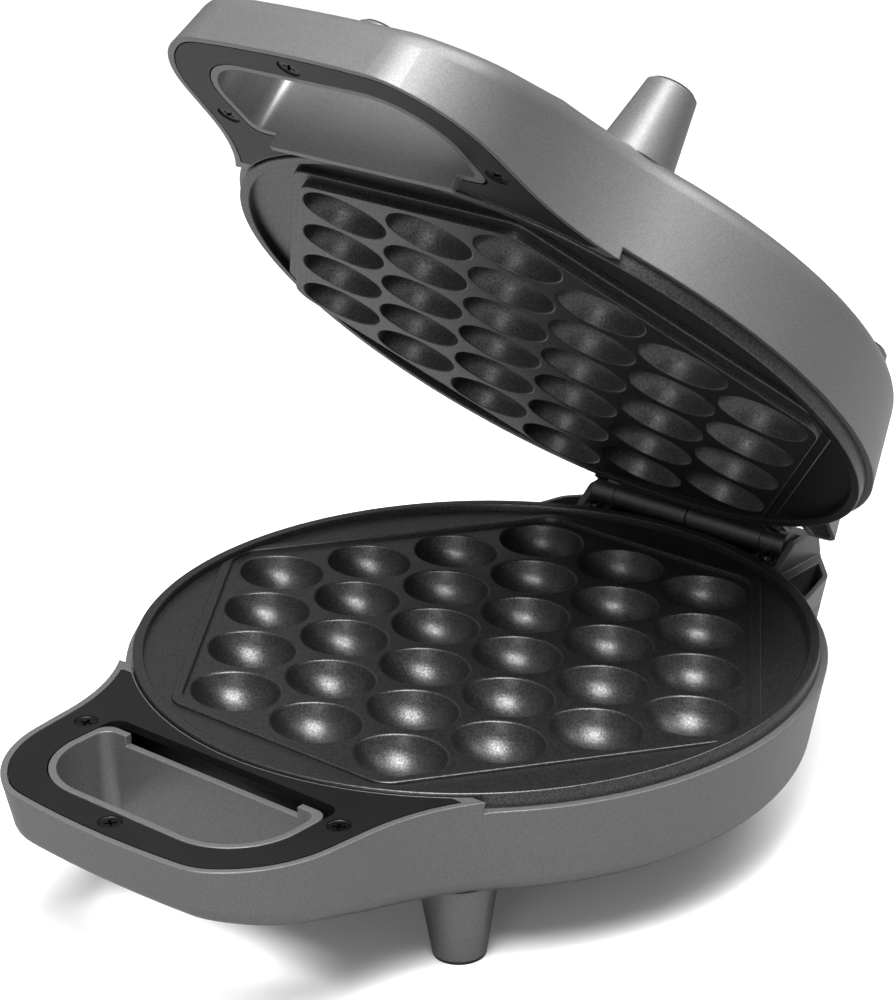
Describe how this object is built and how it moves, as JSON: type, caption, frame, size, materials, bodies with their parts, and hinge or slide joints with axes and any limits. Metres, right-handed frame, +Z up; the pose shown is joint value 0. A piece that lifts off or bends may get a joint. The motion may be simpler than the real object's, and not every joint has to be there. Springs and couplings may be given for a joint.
{
  "type": "bubble waffle maker",
  "caption": "Electric clamshell iron for bubble waffles: two round shells with black cup plates, hinged at the back, each with a looped handle and four feet.",
  "frame": {"origin": "on the floor, under the centre of the bounding box with the lid open as at rest", "axes": "+Z up, -Y towards the handles, +Y towards the hinge, X along the hinge"},
  "size_m": [0.195, 0.2662, 0.2403],
  "materials": {
    "shell_grey": "fine metallic grain, satin",
    "nonstick_plate": "black non-stick coating, fine grain",
    "element_steel": "drawn tube",
    "shield_metal": "pressed sheet",
    "screw_steel": "plated",
    "dark_screw": "black oxide",
    "foot_rubber": "matte",
    "trim_black": "fine texture",
    "hinge_black": "satin black",
    "bushing_black": "matte",
    "ceramic_white": "matte"
  },
  "bodies": {
    "base": {"lower_shell": "shell_grey", "lower_plate": "nonstick_plate", "lower_heating_element": "element_steel", "lower_heat_shield": "shield_metal", "lower_plate_screws": "screw_steel", "lower_foot_pads": "foot_rubber", "lower_handle_trim": "trim_black", "lower_trim_screws": "dark_screw", "base_hinge_left": "hinge_black", "base_hinge_right": "hinge_black", "base_hinge_screws": "dark_screw", "hinge_pin": "screw_steel", "cord_bushing": "bushing_black", "thermostat": "bushing_black", "thermal_fuse": "element_steel", "terminal_block": "ceramic_white"},
    "lid": {"upper_shell": "shell_grey", "upper_plate": "nonstick_plate", "upper_heating_element": "element_steel", "upper_heat_shield": "shield_metal", "upper_plate_screws": "screw_steel", "upper_foot_pads": "foot_rubber", "upper_handle_trim": "trim_black", "upper_trim_screws": "dark_screw", "lid_hinge_left": "hinge_black", "lid_hinge_right": "hinge_black", "lid_hinge_screws": "dark_screw"}
  },
  "joints": [
    {"name": "lid_hinge", "type": "hinge", "parent": "base", "child": "lid", "pos_m": [0, 0.11368, 0.0545], "axis": [-1, 0, 0], "range_deg": [-46, 45]}
  ]
}
